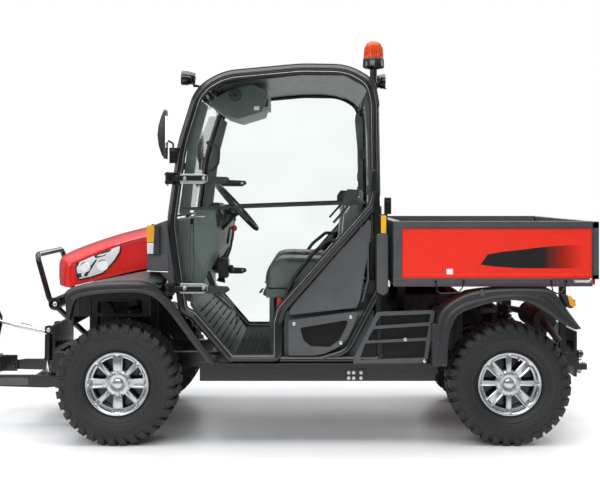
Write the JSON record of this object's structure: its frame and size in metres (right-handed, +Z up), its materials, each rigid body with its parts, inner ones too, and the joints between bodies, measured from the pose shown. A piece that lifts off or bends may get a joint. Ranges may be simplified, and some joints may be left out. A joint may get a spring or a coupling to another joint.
{
  "type": "side by side utv",
  "caption": "Closed-cab side by side utility vehicle with opening doors, tipping cargo box, steered front wheels and a front three-point lift.",
  "frame": {"origin": "on the ground under the middle of the vehicle's length and width", "axes": "+X points to the rear, -X to the front, -Y is the driver's side, +Z is up"},
  "size_m": [3.495, 1.87, 2.117],
  "materials": {
    "body_red": "glossy moulded red panels",
    "box_red": "red painted sheet steel",
    "frame_black": "black powder coat",
    "panel_grey": "mid grey moulded plastic",
    "flare_grey": "dark grey moulded plastic with fine grain",
    "tyre_rubber": "all terrain tyre rubber",
    "alloy_silver": "silver painted cast alloy",
    "steel": "bare machined steel",
    "chrome_rod": "hard chromed rod",
    "cast_grey": "grey casting",
    "glass_green": "green tinted safety glass",
    "lamp_clear": "clear lamp lens over chromed reflectors",
    "lamp_amber": "amber lamp lens",
    "beacon_orange": "orange beacon dome",
    "seat_black": "black vinyl seat cover",
    "interior_grey": "grey cab lining"
  },
  "bodies": {
    "root": {"chassis_frame": "frame_black", "body_stands": "frame_black", "floor_pan": "interior_grey", "seat_base": "interior_grey", "driver_cushion": "seat_black", "passenger_cushion": "seat_black", "driver_backrest": "seat_black", "passenger_backrest": "seat_black", "engine_block": "cast_grey", "drive_units": "cast_grey", "muffler": "steel", "suspension_arms": "frame_black", "spring_dampers": "frame_black", "rear_carriers": "cast_grey", "front_body": "panel_grey", "cowl": "panel_grey", "front_flares": "flare_grey", "rear_fenders": "flare_grey", "cab_frame": "frame_black", "roof_panel": "frame_black", "windshield": "glass_green", "rear_window": "glass_green", "rear_wall": "interior_grey", "quarter_panels": "panel_grey", "mesh_panels": "frame_black", "hip_rails": "frame_black", "dashboard": "interior_grey", "overhead_console": "interior_grey", "work_lamps": "frame_black", "mirrors": "frame_black", "beacon": "beacon_orange", "signal_lamps": "lamp_amber", "tow_hitch": "frame_black", "front_guard": "frame_black", "linkage_base": "frame_black"},
    "hood": {"hood": "body_red", "headlights": "lamp_clear"},
    "knuckle_left": {"knuckle_left": "cast_grey"},
    "knuckle_right": {"knuckle_right": "cast_grey"},
    "wheel_front_left": {"rim_front_left": "alloy_silver", "tyre_front_left": "tyre_rubber"},
    "wheel_front_right": {"rim_front_right": "alloy_silver", "tyre_front_right": "tyre_rubber"},
    "wheel_rear_left": {"rim_rear_left": "alloy_silver", "tyre_rear_left": "tyre_rubber"},
    "wheel_rear_right": {"rim_rear_right": "alloy_silver", "tyre_rear_right": "tyre_rubber"},
    "steering_wheel": {"steering_wheel": "frame_black"},
    "door_left": {"door_left": "frame_black", "door_glass_left": "glass_green"},
    "door_right": {"door_right": "frame_black", "door_glass_right": "glass_green"},
    "cargo_bed": {"cargo_bed": "box_red"},
    "tailgate": {"tailgate": "box_red"},
    "lift_arms": {"lift_arms": "frame_black"},
    "coupler": {"coupler": "frame_black"},
    "top_link": {"top_link": "chrome_rod"},
    "lift_barrels": {"lift_barrels": "frame_black"},
    "lift_rods": {"lift_rods": "chrome_rod"}
  },
  "joints": [
    {"name": "wheel_front_left_spin", "type": "hinge", "parent": "knuckle_left", "child": "wheel_front_left", "pos_m": [-0.8675, -0.6, 0.318], "axis": [0, 1, 0], "continuous": true},
    {"name": "wheel_front_right_spin", "type": "hinge", "parent": "knuckle_right", "child": "wheel_front_right", "pos_m": [-0.8675, 0.6, 0.318], "axis": [0, 1, 0], "continuous": true},
    {"name": "wheel_rear_left_spin", "type": "hinge", "parent": "root", "child": "wheel_rear_left", "pos_m": [1.1775, -0.6, 0.318], "axis": [0, 1, 0], "continuous": true},
    {"name": "wheel_rear_right_spin", "type": "hinge", "parent": "root", "child": "wheel_rear_right", "pos_m": [1.1775, 0.6, 0.318], "axis": [0, 1, 0], "continuous": true},
    {"name": "steer_left", "type": "hinge", "parent": "root", "child": "knuckle_left", "pos_m": [-0.8675, -0.56, 0.318], "axis": [0, 0, 1], "range_deg": [-27, 27]},
    {"name": "steer_right", "type": "hinge", "parent": "root", "child": "knuckle_right", "pos_m": [-0.8675, 0.56, 0.318], "axis": [0, 0, 1], "range_deg": [-27, 27]},
    {"name": "steering_wheel_turn", "type": "hinge", "parent": "root", "child": "steering_wheel", "pos_m": [-0.2675, -0.33, 1.237], "axis": [0.7431, 0, 0.6691], "range_deg": [-270, 270]},
    {"name": "door_left_swing", "type": "hinge", "parent": "root", "child": "door_left", "pos_m": [-0.5975, -0.735, 1.1], "axis": [0, 0, -1], "range_deg": [0, 80]},
    {"name": "door_right_swing", "type": "hinge", "parent": "root", "child": "door_right", "pos_m": [-0.5975, 0.735, 1.1], "axis": [0, 0, 1], "range_deg": [0, 80]},
    {"name": "hood_lift", "type": "hinge", "parent": "root", "child": "hood", "pos_m": [-0.7255, 0, 1.126], "axis": [0, 1, 0], "range_deg": [0, 60]},
    {"name": "bed_tilt", "type": "hinge", "parent": "root", "child": "cargo_bed", "pos_m": [1.5525, 0, 0.812], "axis": [0, 1, 0], "range_deg": [0, 40]},
    {"name": "tailgate_drop", "type": "hinge", "parent": "cargo_bed", "child": "tailgate", "pos_m": [1.6095, 0, 0.848], "axis": [0, 1, 0], "range_deg": [0, 90]},
    {"name": "front_lift", "type": "hinge", "parent": "root", "child": "lift_arms", "pos_m": [-1.2675, 0, 0.265], "axis": [0, 1, 0], "range_deg": [-10, 28]},
    {"name": "coupler_tilt", "type": "hinge", "parent": "lift_arms", "child": "coupler", "pos_m": [-1.6675, 0, 0.265], "axis": [0, 1, 0], "range_deg": [-18.5, 6.8]},
    {"name": "top_link_swing", "type": "hinge", "parent": "root", "child": "top_link", "pos_m": [-1.3375, 0, 0.49], "axis": [0, 1, 0], "range_deg": [-12.5, 34]},
    {"name": "lift_barrel_swing", "type": "hinge", "parent": "root", "child": "lift_barrels", "pos_m": [-1.3625, 0, 0.53], "axis": [0, 1, 0], "range_deg": [-2.5, 1.5]},
    {"name": "lift_rod_slide", "type": "slide", "parent": "lift_barrels", "child": "lift_rods", "axis": [-0.0189, 0, -0.9998], "range_m": [-0.05, 0.02]}
  ],
  "couplings": [
    {"joint": "steer_right", "follows": "steer_left", "ratio": 1},
    {"joint": "steering_wheel_turn", "follows": "steer_left", "ratio": 10},
    {"joint": "coupler_tilt", "follows": "front_lift", "ratio": -0.635},
    {"joint": "top_link_swing", "follows": "front_lift", "ratio": 1.19},
    {"joint": "lift_barrel_swing", "follows": "front_lift", "ratio": -0.0693},
    {"joint": "lift_rod_slide", "follows": "front_lift", "m_per_rad": -0.0976}
  ]
}
